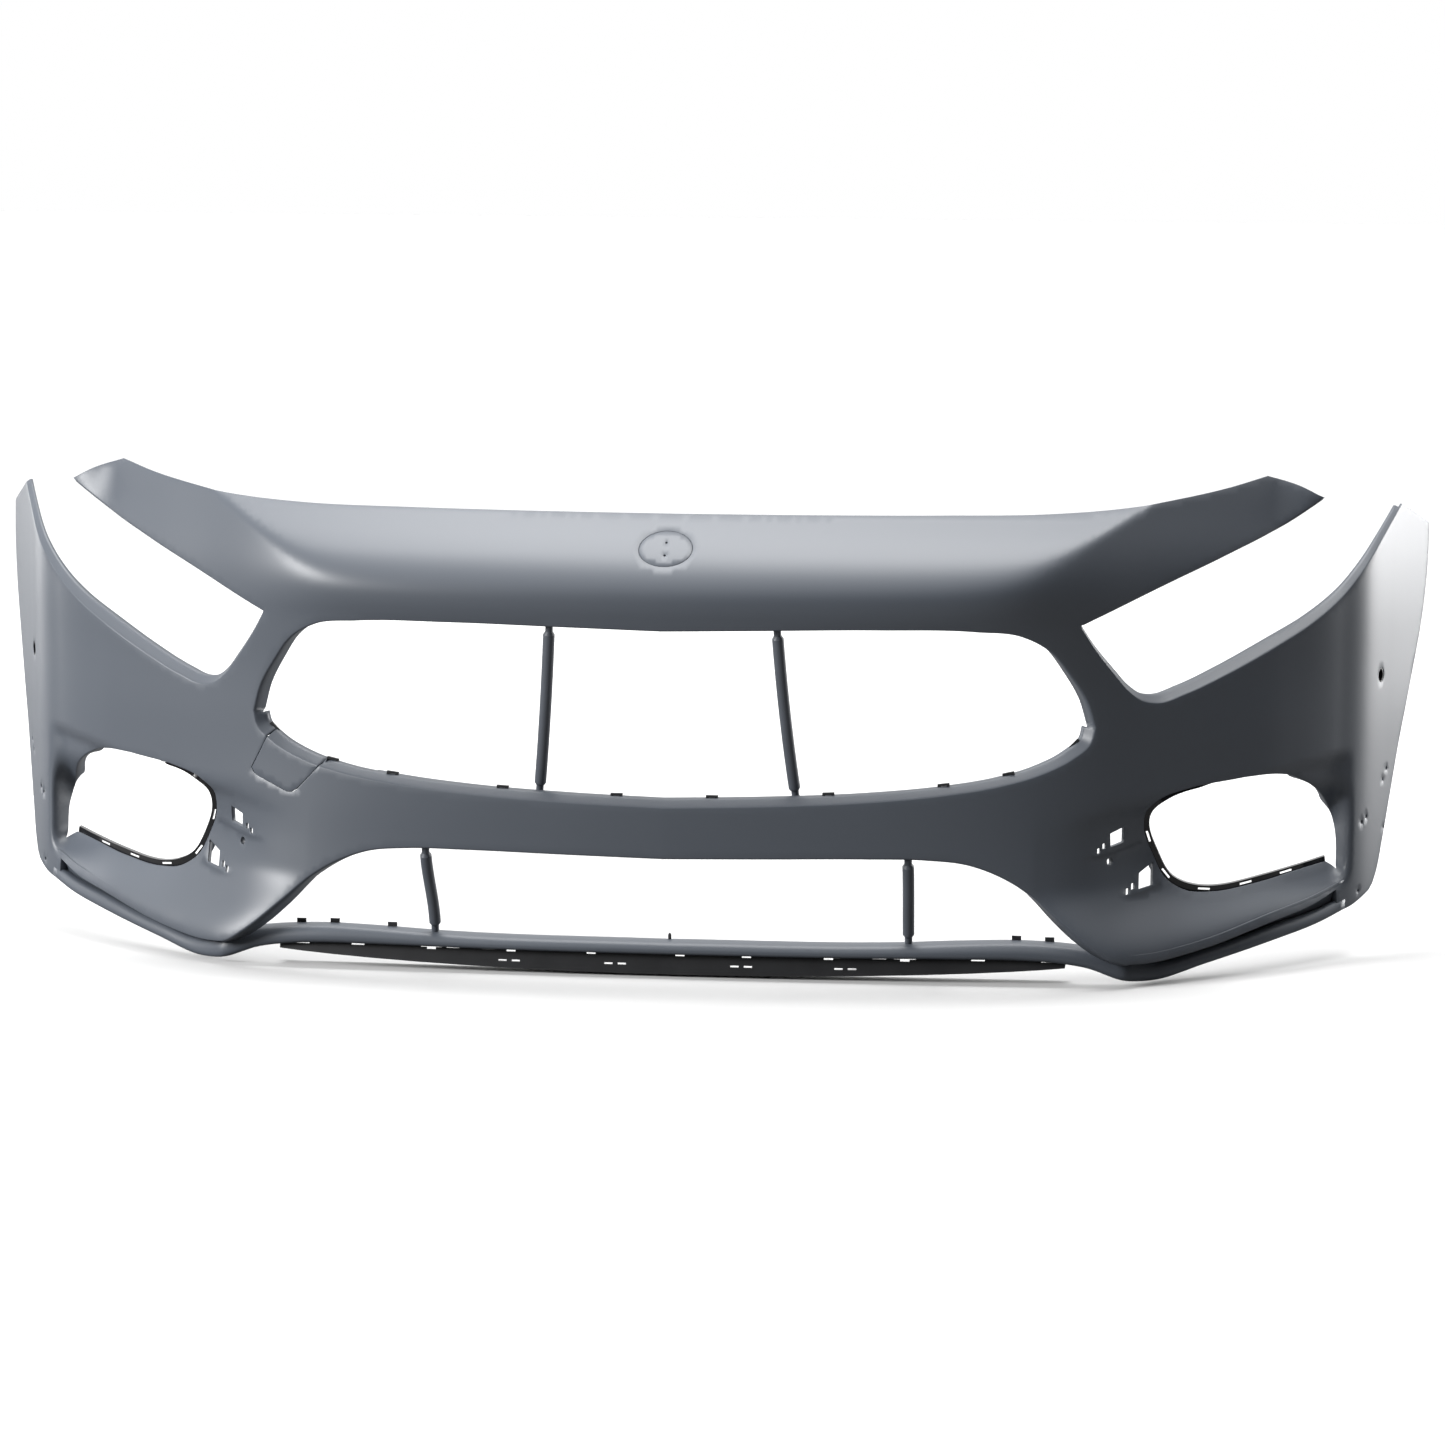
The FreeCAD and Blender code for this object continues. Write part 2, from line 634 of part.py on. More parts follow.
def main():
    os.makedirs("parts", exist_ok=True)
    skin = cover_skin()
    save(skin, "cover_skin")
    save(tow_eye_cap(), "tow_eye_cap")
    both(sensor_retainer(skin), "sensor_retainer")
    both(sensor_ring(), "sensor_ring")
    both(intake_rail().cut(skin), "intake_rail")
    both(strut(UPPER_STRUT), "upper_strut")
    save(strut(LOWER_STRUT), "lower_strut_right")
    save(mirror(strut(LOWER_STRUT_BENT)), "lower_strut_left")
    save(lower_strip().cut(skin), "lower_mount_strip")
    clips = [clip_at(s * x) for x in CLIPS for s in (-1, 1)]
    save(Part.makeCompound([biggest(c.cut(skin)) for c in clips]), "grille_clips")
    both(fender_loops(skin), "fender_loops")
    save(lip_tabs(), "lip_tabs")
    save(centre_pin(), "centre_pin")


if __name__ == "__main__":
    main()
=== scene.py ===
import json
import math

import bpy
from mathutils import Matrix, Vector
from mathutils.geometry import delaunay_2d_cdt

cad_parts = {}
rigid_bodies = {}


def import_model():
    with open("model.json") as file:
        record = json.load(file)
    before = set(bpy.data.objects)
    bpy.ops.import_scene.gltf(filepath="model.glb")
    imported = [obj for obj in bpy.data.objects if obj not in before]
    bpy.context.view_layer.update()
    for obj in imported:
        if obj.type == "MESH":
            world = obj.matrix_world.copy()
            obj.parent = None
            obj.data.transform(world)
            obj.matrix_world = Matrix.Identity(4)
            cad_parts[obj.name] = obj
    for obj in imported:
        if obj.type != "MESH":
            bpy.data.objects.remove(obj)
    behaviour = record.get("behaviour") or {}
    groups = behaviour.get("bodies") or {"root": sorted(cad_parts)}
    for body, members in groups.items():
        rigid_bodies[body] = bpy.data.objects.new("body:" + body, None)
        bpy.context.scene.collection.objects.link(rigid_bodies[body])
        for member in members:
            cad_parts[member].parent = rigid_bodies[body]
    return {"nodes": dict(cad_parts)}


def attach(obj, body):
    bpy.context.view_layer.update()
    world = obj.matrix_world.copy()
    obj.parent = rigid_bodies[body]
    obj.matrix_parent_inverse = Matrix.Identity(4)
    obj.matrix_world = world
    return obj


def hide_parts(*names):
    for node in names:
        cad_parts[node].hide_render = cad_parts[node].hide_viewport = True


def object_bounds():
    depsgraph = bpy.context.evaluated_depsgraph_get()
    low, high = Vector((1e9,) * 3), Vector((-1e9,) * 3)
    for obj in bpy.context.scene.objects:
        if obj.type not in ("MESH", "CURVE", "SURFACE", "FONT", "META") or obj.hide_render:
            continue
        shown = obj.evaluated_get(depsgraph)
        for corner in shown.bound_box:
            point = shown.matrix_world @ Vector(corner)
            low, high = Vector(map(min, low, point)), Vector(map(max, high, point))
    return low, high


for old in list(bpy.data.objects):
    bpy.data.objects.remove(old)
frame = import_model()
CAD_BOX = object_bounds()

# The shape is worked out in millimetres from the V-shaped kink on the centre bar's front edge:
# X across the car, Y towards the rear, Z up.  ORIGIN is the row's origin in those coordinates.
ORIGIN = Vector((0.0, 99.0, 332.0))
# gap round the tow eye cap, and how far below the opening's edge its side joints start
CAP_GAP = 1.3
CAP_JOINT_SHIFT = 0.6
# mesh of the outer face: cell size, row distance in cells, free band along outlines in cells
GRID = 7.0
DISC_GRID = 5.0
ROW_PITCH = 0.866
CLEAR_OF_OUTLINE = 0.62
MERGE_GAP = 1e-4
# point distance along outlines, and the lower limit of the corner sharpness in edge_rows
STEP = 5.0
SHARPEST = 0.35
# walls in millimetres; the bevel on the CAD nodes is in metres
SHEET_THICK = 2.2
WALL_THICK = 1.5
FLANGE_THICK = 3.0
NODE_BEVEL = 0.0004
SHEET_COLUMNS = 90
HOLE_SIDES = 32

# depth of the outer face: nose by height, plan by distance from the middle, lean by height, and
# how softly nose and plan run into each other, by height
NOSE = [(-215, 14), (-58, 10), (0, 4), (60, 0), (120, -6), (180, -12), (215, -15), (235, -19.2),
        (252, -17.4), (272, -6), (290, 12), (305, 32), (345, 95), (395, 172)]
PLAN = [(430, -4), (500, 46), (560, 92), (640, 150), (720, 212), (785, 275), (822, 322), (850, 385),
        (905, 520)]
LEAN = [(-215, 2), (-120, -2), (0, 0), (90, -3), (150, 0), (218, 3), (276, 14), (347, 44), (395, 66)]
BLEND = [(-215, 55), (220, 55), (275, 22), (310, 6), (395, 4)]
# how far the blade panel falls back at its upper and lower part, and its lower edge
BLADE_TOP = [(430, 0), (500, 6), (560, 20), (600, 26), (700, 42), (776, 54), (830, 54)]
BLADE_LOW = [(430, 0), (480, -20), (532, -34), (600, -28), (700, -13), (787, 0), (850, 0)]
BLADE_EDGE = [(430, -130), (532, -180), (560, -181), (632, -171), (710, -150), (760, -138), (800, -124)]

# outlines in the front view, (x, z)
TOP_EDGE = [(0, 338), (188, 338.5), (317, 339.5), (437, 341.5), (518, 347), (584, 355.5), (650, 367),
            (694, 378)]
WING_TIP = [(694, 378), (734, 365), (760, 352)]
WING_LOW = [(760, 352), (716, 325), (647, 293), (581, 264.5), (479, 218)]
LAMP = [(479, 218), (497, 188), (520, 156), (537, 135), (553, 123), (573, 119.5), (602, 128), (654, 150),
        (711, 179), (752, 203), (787, 231), (815, 265), (838, 299), (860, 332)]
ARM_TOP = [(860, 332), (899, 301)]
FLANK_FOOT = [(828, -134), (806, -147), (790, -152)]
NOTCH = [(790, -152), (788, -124)]
BLADE_LOW_EDGE = [(788, -124), (760, -137), (710, -150), (632, -171), (560, -181), (540, -180)]
BRIDGE = [(540, -180), (530, -177), (512, -166), (462, -126), (424, -94), (390, -74), (354, -61),
          (307, -55.5), (235, -54.5), (120, -56), (0, -58)]
GRILLE_TOP = [(0, 212), (118, 214.5), (250, 216.5), (362, 214.5), (415, 208), (447, 190), (470, 161),
              (490, 128), (500, 96)]
GRILLE_LOW = [(500, 96), (495, 77), (473, 58), (437, 41), (389, 28), (329, 18.5), (235, 9.5), (118, 3.5),
              (0, 0)]
INTAKE = [(788, -104), (785, -54), (775, -22), (760, 2), (740, 17), (716, 24.5), (685, 26.5), (657, 24),
          (610, 18), (574, 6), (558, -11), (556, -32), (567, -64), (582, -92), (606, -108), (639, -113),
          (690, -109), (745, -101), (776, -97)]
INTAKE_TIP = [(776, -97), (788, -104)]
CAP = [(-478, 72), (-503, 27), (-500, 21), (-495, 17.5), (-456, 1), (-449, 1), (-443, 4.5), (-411, 38)]
# wheel-arch edge seen from the side, (z, y)
FLANK_EDGE = [(301, 510), (240, 503), (185, 490), (92, 450), (42, 427), (-25, 400), (-80, 377),
              (-112, 362), (-134, 344)]
FLANK_TOP = 301
FLANK_BOTTOM = -134
FLANK_ROWS = 60
FLANK_SET_IN = 1.8
# lower lip, (x, z), and the wall between lip and blade
LIP_TOP = [(0, -169), (284, -166), (345, -163), (430, -161.5), (480, -165), (533, -174), (560, -184),
           (632, -176), (707, -159), (771, -145), (800, -134)]
LIP_LOW = [(0, -183), (200, -182.5), (345, -181), (415, -181), (455, -183), (495, -189), (533, -202),
           (568, -206), (632, -193), (707, -176), (771, -160), (806, -147)]
LIP_HALF_WIDTH = 799
LIP_SECTIONS = 266
RECESS_START = 546
RECESS_WIDTH = 250
RECESS_SECTIONS = 39
# round holes, (x, z, radius)
RIVETS = [(848, 10, 2.6), (843.5, -2, 2.6), (823, -41.5, 2.6), (817.5, -47, 2.6), (815, -131, 2.4),
          (846, -62, 2.2)]
FIN_WINDOWS = [[(536, -26.5), (521, -33), (521.5, -48.5), (536, -44.5)],
               [(570, -73), (555, -83.5), (555, -100), (570, -97)]]
FIN_WINDOW_GROWTH = (1.12, 1.1)
FIN_WINDOW_SHIFT = 2.5
FIN_SLOTS = [(511, -47), (505, -52), (545, -97), (539, -102)]
FIN_SLOT_CORNERS = [(-2, -4), (2, -3), (2, 4), (-2, 3)]
PIN_HOLE = (518, -66, 5.0)
SENSOR = (838, 128, 9.5)
BADGE = (0, 302, 31.75)
BADGE_GROOVE = 0.9
BADGE_PINS = [(0, 308.5, 1.8), (0, 295.5, 1.8)]
# screw flange behind the upper edge
SCREW_PITCH = 130.0
SCREW_Y = 99.0
SCREW_RADIUS = 3.5
SCREW_FLANGE_Z = 332.0
SCREW_FLANGE_HALF = 432
# shelf behind the centre bar: the bar's upper edge, (x, z), and half the shelf's length
BAR_EDGE = [(0, 0), (118, 3.5), (235, 9.5), (329, 18.5), (389, 28), (437, 41), (473, 58), (492, 77)]
BAR_SHELF_HALF = 350
# soft crease from the wing's root down across the nose panel, and depth of the undercut below the brow
NOSE_CREASE = [(517, 345), (480, 318), (450, 290), (400, 246)]
BROW_DEPTH = 12
# small ledges below the fin windows: lines in the front view, height of the step, and how far down it fades
LEDGES = [[(480, -59.2), (499, -59.5), (515, -57.3), (530, -54), (545, -50), (559, -45)],
          [(523, -108.3), (546, -107), (560, -104), (572, -99.8), (582, -95.5)]]
LEDGE_STEP = 1.0
LEDGE_FADE = 34


# ---------------------------------------------------------------- shape functions

def curve(pts, t):
    """Smooth curve through (t, value) points, running on straight beyond both ends."""
    n = len(pts)
    d = [(pts[i + 1][1] - pts[i][1]) / (pts[i + 1][0] - pts[i][0]) for i in range(n - 1)]
    if t <= pts[0][0]:
        return pts[0][1] + (t - pts[0][0]) * d[0]
    if t >= pts[-1][0]:
        return pts[-1][1] + (t - pts[-1][0]) * d[-1]
    i = max(k for k in range(n - 1) if pts[k][0] <= t)
    h = pts[i + 1][0] - pts[i][0]

    def slope(k):
        if k == 0:
            return d[0]
        if k == n - 1:
            return d[-1]
        a = pts[k][0] - pts[k - 1][0]
        b = pts[k + 1][0] - pts[k][0]
        return (d[k - 1] * b + d[k] * a) / (a + b)
    s = (t - pts[i][0]) / h
    return ((2 * s ** 3 - 3 * s ** 2 + 1) * pts[i][1] + (s ** 3 - 2 * s ** 2 + s) * h * slope(i)
            + (3 * s ** 2 - 2 * s ** 3) * pts[i + 1][1] + (s ** 3 - s ** 2) * h * slope(i + 1))


def ease(a, b, t):
    """0 up to a, 1 from b on, and a smooth rise in between."""
    s = min(1.0, max(0.0, (t - a) / (b - a)))
    return s * s * (3 - 2 * s)


def brow_z(x):
    """Height of the crease where the brow over the side intake turns under."""
    return 21 - 0.183 * (668 - x)


def front_y(x, z):
    """Depth of the outer face at a place in the front view."""
    x = abs(x)
    nose = -8 + 1.25e-4 * x * x + curve(NOSE, z)
    side = curve(PLAN, x) + curve(LEAN, z) * (1 - 0.72 * ease(700, 775, x))
    r = curve(BLEND, z)
    y = 0.5 * (nose + side + math.sqrt((nose - side) ** 2 + r * r))
    low = 0.0 if z > -90 else 1.0 - ease(curve(BLADE_EDGE, x), -90, z)
    near = 1 - ease(778, 806, x)
    y += near * (1 - low) * curve(BLADE_TOP, max(x, 430)) * (1 - ease(-55, 15, z))
    y += near * low * curve(BLADE_LOW, max(x, 430))
    below = brow_z(x) - z
    y += BROW_DEPTH * ease(450, 600, x) * ease(-2, 14, below) * near * (1 - ease(60, 110, below))
    if 470 < x < 600:
        for pts in LEDGES:
            down = curve(pts, x) - z
            if 0 < down < LEDGE_FADE:
                fade = ease(pts[0][0] + 2, pts[0][0] + 32, x)
                y += LEDGE_STEP * ease(0, 0.5, down) * (1 - ease(3, LEDGE_FADE, down)) * fade
    return y


def normal_at(x, z):
    """Unit normal of the outer face, pointing forward."""
    fx = (front_y(x + 1, z) - front_y(x - 1, z)) / 2
    fz = (front_y(x, z + 1) - front_y(x, z - 1)) / 2
    return Vector((fx, -1, fz)).normalized()


def lip_front(x):
    """Depth of the lower lip's front edge."""
    x = abs(x)
    inner = 54 + 15 * (x / 533) ** 2
    outer = curve(PLAN, x) - 6 * (1 - ease(560, 780, x))
    return inner if x < 520 else max(inner, outer)


def spline(pts, step):
    """Evenly spaced points on a smooth curve through the given ones."""
    if len(pts) == 2:
        a = Vector(pts[0])
        b = Vector(pts[1])
        n = max(1, int((b - a).length / step))
        return [tuple(a.lerp(b, i / n)) for i in range(n + 1)]
    chord = [0.0]
    for a, b in zip(pts, pts[1:]):
        chord.append(chord[-1] + (Vector(a) - Vector(b)).length)
    fine = []
    n = int(chord[-1] / 1.0) + 2
    xs = list(zip(chord, [p[0] for p in pts]))
    zs = list(zip(chord, [p[1] for p in pts]))
    for i in range(n + 1):
        t = chord[-1] * i / n
        fine.append(Vector((curve(xs, t), curve(zs, t))))
    run = [0.0]
    for a, b in zip(fine, fine[1:]):
        run.append(run[-1] + (a - b).length)
    m = max(2, int(round(run[-1] / step)))
    out = []
    k = 0
    for i in range(m + 1):
        t = run[-1] * i / m
        while k < len(run) - 2 and run[k + 1] < t:
            k += 1
        f = (t - run[k]) / max(1e-9, run[k + 1] - run[k])
        out.append(tuple(fine[k].lerp(fine[k + 1], min(1.0, f))))
    out[0] = tuple(pts[0])
    out[-1] = tuple(pts[-1])
    return out


def flank_back():
    """Wheel-arch edge in the front view: where the outer face reaches the edge's depth."""
    out = []
    edge = sorted(FLANK_EDGE)
    for i in range(FLANK_ROWS + 1):
        z = FLANK_TOP + (FLANK_BOTTOM - FLANK_TOP) * i / FLANK_ROWS
        want = curve(edge, z) - FLANK_SET_IN
        a = 780.0
        b = 905.0
        for _ in range(30):
            m = (a + b) / 2
            if front_y(m, z) < want:
                a = m
            else:
                b = m
        out.append((a, z))
    return out


# ---------------------------------------------------------------- mesh helpers

def to_row(p):
    """Working millimetres to the row's metres."""
    return (Vector(p) - ORIGIN) * 0.001


def new_object(name, verts, faces, material, smooth=True):
    mesh = bpy.data.meshes.new(name)
    mesh.from_pydata([tuple(to_row(v)) for v in verts], [], faces)
    mesh.validate()
    mesh.materials.append(material)
    if smooth:
        mesh.polygons.foreach_set("use_smooth", [True] * len(mesh.polygons))
    obj = bpy.data.objects.new(name, mesh)
    bpy.context.scene.collection.objects.link(obj)
    return obj


def thicken(obj, thick=SHEET_THICK):
    """Wall of the given thickness in millimetres behind the face."""
    wall = obj.modifiers.new("Thickness", "SOLIDIFY")
    wall.thickness = thick * 0.001
    wall.offset = -1.0
    wall.use_even_offset = False


# length along the plan curve at one height, so that grid cells stay square on the steep corners
ARC_STEP = 5.0
ARC_END = 182
ARC_HEIGHT = 100
ARC = [(0.0, 0.0)]
for i in range(1, ARC_END):
    x = i * ARC_STEP
    rise = front_y(x, ARC_HEIGHT) - front_y(x - ARC_STEP, ARC_HEIGHT)
    ARC.append((x, ARC[-1][1] + math.hypot(ARC_STEP, rise)))


def arc_of(x):
    """Length along the plan curve from the middle to x."""
    s = -1 if x < 0 else 1
    i = min(int(abs(x) / ARC_STEP), len(ARC) - 2)
    a, b = ARC[i], ARC[i + 1]
    return s * (a[1] + (abs(x) - a[0]) / ARC_STEP * (b[1] - a[1]))


def x_of(u):
    """The reverse of arc_of."""
    s = -1 if u < 0 else 1
    u = abs(u)
    lo = 0
    hi = len(ARC) - 1
    while hi - lo > 1:
        m = (lo + hi) // 2
        if ARC[m][1] <= u:
            lo = m
        else:
            hi = m
    a, b = ARC[lo], ARC[hi]
    return s * (a[0] + (u - a[1]) / (b[1] - a[1]) * ARC_STEP)


# edge profiles: (how far past the edge, how deep) along the surface tangent and inward normal
ROLL = [(0.25, 0.08), (0.5, 0.3), (0.65, 0.75), (0.65, 4.0), (0.65, 9.0)]
ARCH = [(0.2, 0.08), (0.4, 0.3), (0.5, 0.7), (0.5, 2.6)]
SHUT = [(0.15, 0.1), (0.3, 0.5), (0.3, 3.2)]
HOLE = [(0.15, 0.1), (0.25, 0.4), (0.25, 3.0)]
GROOVE_OUT = [(0.15, 0.1), (0.3, 0.5), (0.35, 1.1), (2.2, 1.3)]
GROOVE_IN = [(0.1, 0.1), (0.2, 0.5), (0.2, 1.2)]
BEVEL = [(0.8, 0.25), (1.6, 0.9), (2.6, 2.2), (4.6, 5.2), (7.6, 9.6), (9.0, 11.9), (9.5, 13.2),
         (9.6, 15.0), (9.6, 20.0)]
DEEP = [(0.8, 0.2), (1.8, 0.9), (2.4, 2.2), (2.6, 5.0), (2.6, 22.0)]


def scaled(profile, k):
    return [(a * k, b * k) for a, b in profile]


class Loop:
    """Closed outline made of stretches, each with its own edge profile.

    aim holds, for single points by their index, the direction in which the edge leaves
    the outline there and the sharpness of the corner.
    """

    def __init__(self):
        self.pts = []
        self.profile = []
        self.aim = {}

    def add(self, pts, profile):
        """profile: a list of offsets, or a function of 0..1 along the stretch giving one."""
        n = len(pts) - 1
        for i, p in enumerate(pts[:-1]):
            self.pts.append(p)
            self.profile.append(profile(i / n) if callable(profile) else profile)


def grid_points(outlines, edge_points, grid):
    """Staggered rows of points inside the outlines.

    Places near an outline point are left out, so that no sliver triangles form there.
    """
    cells = {}
    for v in edge_points:
        cells.setdefault((int(v.x // grid), int(v.y // grid)), []).append((v.x, v.y))

    def crowded(u, z):
        cu = int(u // grid)
        cz = int(z // grid)
        for du in (-1, 0, 1):
            for dz in (-1, 0, 1):
                for a, b in cells.get((cu + du, cz + dz), ()):
                    if (a - u) ** 2 + (b - z) ** 2 < (CLEAR_OF_OUTLINE * grid) ** 2:
                        return True
        return False

    left = min(p[0] for p in outlines[0])
    top = max(p[1] for p in outlines[0])
    z = min(p[1] for p in outlines[0])
    points = []
    row = 0
    while z < top:
        # a row runs inside the sheet from every odd crossing with an outline to the next one
        start = math.floor(left / grid) * grid + (0.5 * grid if row % 2 else 0.0)
        cuts = []
        for pts in outlines:
            for a, b in zip(pts, pts[1:] + pts[:1]):
                if (a[1] > z) != (b[1] > z):
                    cuts.append(a[0] + (z - a[1]) / (b[1] - a[1]) * (b[0] - a[0]))
        cuts.sort()
        for a, b in zip(cuts[::2], cuts[1::2]):
            u = start + math.ceil((a - start) / grid) * grid
            while u < b:
                if not crowded(u, z):
                    points.append(Vector((u, z)))
                u += grid
        z += grid * ROW_PITCH
        row += 1
    return points


def triangles_inside(tris, sources, first_grid, walls):
    """Triangles that can be reached from a grid point without crossing an outline."""
    by_edge = {}
    for ti, t in enumerate(tris):
        for p, q in zip(t, t[1:] + t[:1]):
            by_edge.setdefault(frozenset((p, q)), []).append(ti)
    grid_verts = set()
    for i, src in enumerate(sources):
        if src and all(s >= first_grid for s in src):
            grid_verts.add(i)
    kept = set(ti for ti, t in enumerate(tris) if any(i in grid_verts for i in t))
    todo = list(kept)
    while todo:
        t = tris[todo.pop()]
        for p, q in zip(t, t[1:] + t[:1]):
            key = frozenset((p, q))
            if key in walls:
                continue
            for other in by_edge[key]:
                if other not in kept:
                    kept.add(other)
                    todo.append(other)
    return sorted(kept)


def twice_area(pts):
    """Positive for an anticlockwise outline."""
    return sum(a[0] * b[1] - b[0] * a[1] for a, b in zip(pts, pts[1:] + pts[:1]))


def edge_rows(lp, ring, way, verts):
    """Points of an outline's rolled or bevelled edge, one row behind each outline point."""
    n = len(ring)
    rows = []
    for k in range(n):
        x, z = lp.pts[k]
        p = verts[ring[k]]
        before = (p - verts[ring[k - 1]]).normalized()
        after = (verts[ring[(k + 1) % n]] - p).normalized()
        nrm = normal_at(x, z)
        out = (after + before).normalized().cross(nrm).normalized() * way
        sharp = max(SHARPEST, (after.dot(before) + 1) / 2)
        if k in lp.aim:
            ax, az, sharp = lp.aim[k]
            out = Vector((ax, front_y(x + ax, z + az) - front_y(x, z), az)).normalized()
        row = [ring[k]]
        for past, deep in lp.profile[k]:
            verts.append(p + out * (past / sharp ** 0.5) - nrm * deep)
            row.append(len(verts) - 1)
        rows.append(row)
    return rows


def build_sheet(name, outer, holes, grid, material, features=()):
    """Sheet on the outer face between outlines; every outline gets its rolled or bevelled edge."""
    loops = [outer] + holes
    flat_points = []
    edges = []
    starts = []
    for lp in loops:
        base = len(flat_points)
        starts.append(base)
        for k, (x, z) in enumerate(lp.pts):
            flat_points.append(Vector((arc_of(x), z)))
            edges.append((base + k, base + (k + 1) % len(lp.pts)))
    for line in features:
        base = len(flat_points)
        for k, (x, z) in enumerate(line):
            flat_points.append(Vector((arc_of(x), z)))
            if k:
                edges.append((base + k - 1, base + k))
    first_grid = len(flat_points)
    outlines = [[(arc_of(x), z) for x, z in lp.pts] for lp in loops]
    flat_points += grid_points(outlines, flat_points, grid)
    flat, _, tris, sources, _, _ = delaunay_2d_cdt(flat_points, edges, [], 0, MERGE_GAP)

    now_at = {}
    for i, src in enumerate(sources):
        for s in src:
            now_at[s] = i
    rings = [[now_at[base + k] for k in range(len(lp.pts))] for base, lp in zip(starts, loops)]
    walls = set()
    for ring in rings:
        for p, q in zip(ring, ring[1:] + ring[:1]):
            walls.add(frozenset((p, q)))
    verts = []
    for v in flat:
        x = x_of(v.x)
        verts.append(Vector((x, front_y(x, v.y), v.y)))
    faces = []
    for ti in triangles_inside(tris, sources, first_grid, walls):
        f = list(tris[ti])
        a, b, c = (verts[i] for i in f[:3])
        if (b - a).cross(c - a).y > 0:
            f.reverse()
        faces.append(f)
    for lp, ring in zip(loops, rings):
        # material lies left of an anticlockwise outer loop; past the edge is to the right of it
        way = 1 if (twice_area(lp.pts) > 0) == (lp is outer) else -1
        rows = edge_rows(lp, ring, way, verts)
        for r, s in zip(rows, rows[1:] + rows[:1]):
            for q in range(min(len(r), len(s)) - 1):
                f = [r[q], s[q], s[q + 1], r[q + 1]]
                if way > 0:
                    f.reverse()
                faces.append(f)
    return new_object(name, verts, faces, material)


# ---------------------------------------------------------------- materials

GRAIN_SCALE = 900.0
GRAIN_DEPTH = 0.0002


def noise_material(name, base, base_var, rough, rough_var, scale, bump=0.0, coat=0.0, spec=0.5):
    """Procedural finish: slow colour and gloss variation plus a fine grain."""
    mat = bpy.data.materials.new(name)
    mat.use_nodes = True
    nt = mat.node_tree
    bsdf = nt.nodes["Principled BSDF"]
    coords = nt.nodes.new("ShaderNodeTexCoord")
    slow = nt.nodes.new("ShaderNodeTexNoise")
    slow.inputs["Scale"].default_value = scale
    slow.inputs["Detail"].default_value = 3.0
    nt.links.new(coords.outputs["Object"], slow.inputs["Vector"])
    ramp = nt.nodes.new("ShaderNodeValToRGB")
    ramp.color_ramp.elements[0].position = 0.3
    ramp.color_ramp.elements[1].position = 0.7
    ramp.color_ramp.elements[0].color = tuple(c * (1 - base_var) for c in base) + (1,)
    ramp.color_ramp.elements[1].color = tuple(min(1.0, c * (1 + base_var)) for c in base) + (1,)
    nt.links.new(slow.outputs["Fac"], ramp.inputs["Fac"])
    nt.links.new(ramp.outputs["Color"], bsdf.inputs["Base Color"])
    fine = nt.nodes.new("ShaderNodeTexNoise")
    fine.inputs["Scale"].default_value = GRAIN_SCALE
    fine.inputs["Detail"].default_value = 2.0
    nt.links.new(coords.outputs["Object"], fine.inputs["Vector"])
    span = nt.nodes.new("ShaderNodeMapRange")
    span.inputs["To Min"].default_value = rough - rough_var
    span.inputs["To Max"].default_value = rough + rough_var
    nt.links.new(slow.outputs["Fac"], span.inputs["Value"])
    nt.links.new(span.outputs["Result"], bsdf.inputs["Roughness"])
    if bump > 0:
        node = nt.nodes.new("ShaderNodeBump")
        node.inputs["Strength"].default_value = bump
        node.inputs["Distance"].default_value = GRAIN_DEPTH
        nt.links.new(fine.outputs["Fac"], node.inputs["Height"])
        nt.links.new(node.outputs["Normal"], bsdf.inputs["Normal"])
    bsdf.inputs["Coat Weight"].default_value = coat
    bsdf.inputs["Coat Roughness"].default_value = 0.25
    bsdf.inputs["Specular IOR Level"].default_value = spec
    return mat


PRIMER = noise_material("primer", (0.062, 0.071, 0.086), 0.02, 0.43, 0.015, 3.0, bump=0.04)
BLACK = noise_material("black_plastic", (0.013, 0.0135, 0.015), 0.12, 0.5, 0.05, 30.0, bump=0.25, spec=0.35)
GLOSS = noise_material("gloss_black", (0.008, 0.008, 0.009), 0.1, 0.12, 0.02, 20.0)
GREY = noise_material("grey_plastic", (0.30, 0.30, 0.28), 0.06, 0.45, 0.04, 30.0, bump=0.15)
STRUT = noise_material("strut_primer", (0.055, 0.062, 0.075), 0.05, 0.5, 0.04, 25.0, bump=0.2)


# ---------------------------------------------------------------- cover skin

def flip(pts):
    """The same stretch on the other side, walked the other way."""
    return [(-x, z) for x, z in reversed(pts)]


def foreshortened(x, z, r, n):
    """Outline in the front view of a round hole drilled square to the surface."""
    nrm = normal_at(x, z)
    u = nrm.cross(Vector((0, 0, 1))).normalized()
    w = nrm.cross(u)
    out = []
    for i in range(n):
        a = 2 * math.pi * i / n
        p = u * (r * math.cos(a)) + w * (r * math.sin(a))
        out.append((x + p.x, z + p.z))
    return out


def closed(pts, profile):
    """Loop with one profile all round."""
    lp = Loop()
    lp.pts = list(pts)
    lp.profile = [profile] * len(pts)
    return lp


def densify(pts, step):
    """Straight-sided outline with extra points along its sides."""
    out = []
    for a, b in zip(pts, pts[1:] + pts[:1]):
        out += spline([a, b], step)[:-1]
    return out


def lamp_profile(t):
    """Bevel under the headlamp, shallower where it starts and where it ends."""
    k = (0.3 + 0.7 * ease(0.0, 0.25, t)) * (1 - 0.6 * ease(0.5, 1.0, t))
    return scaled(BEVEL, k)


def flip_profile(profile):
    return (lambda t: profile(1 - t)) if callable(profile) else profile


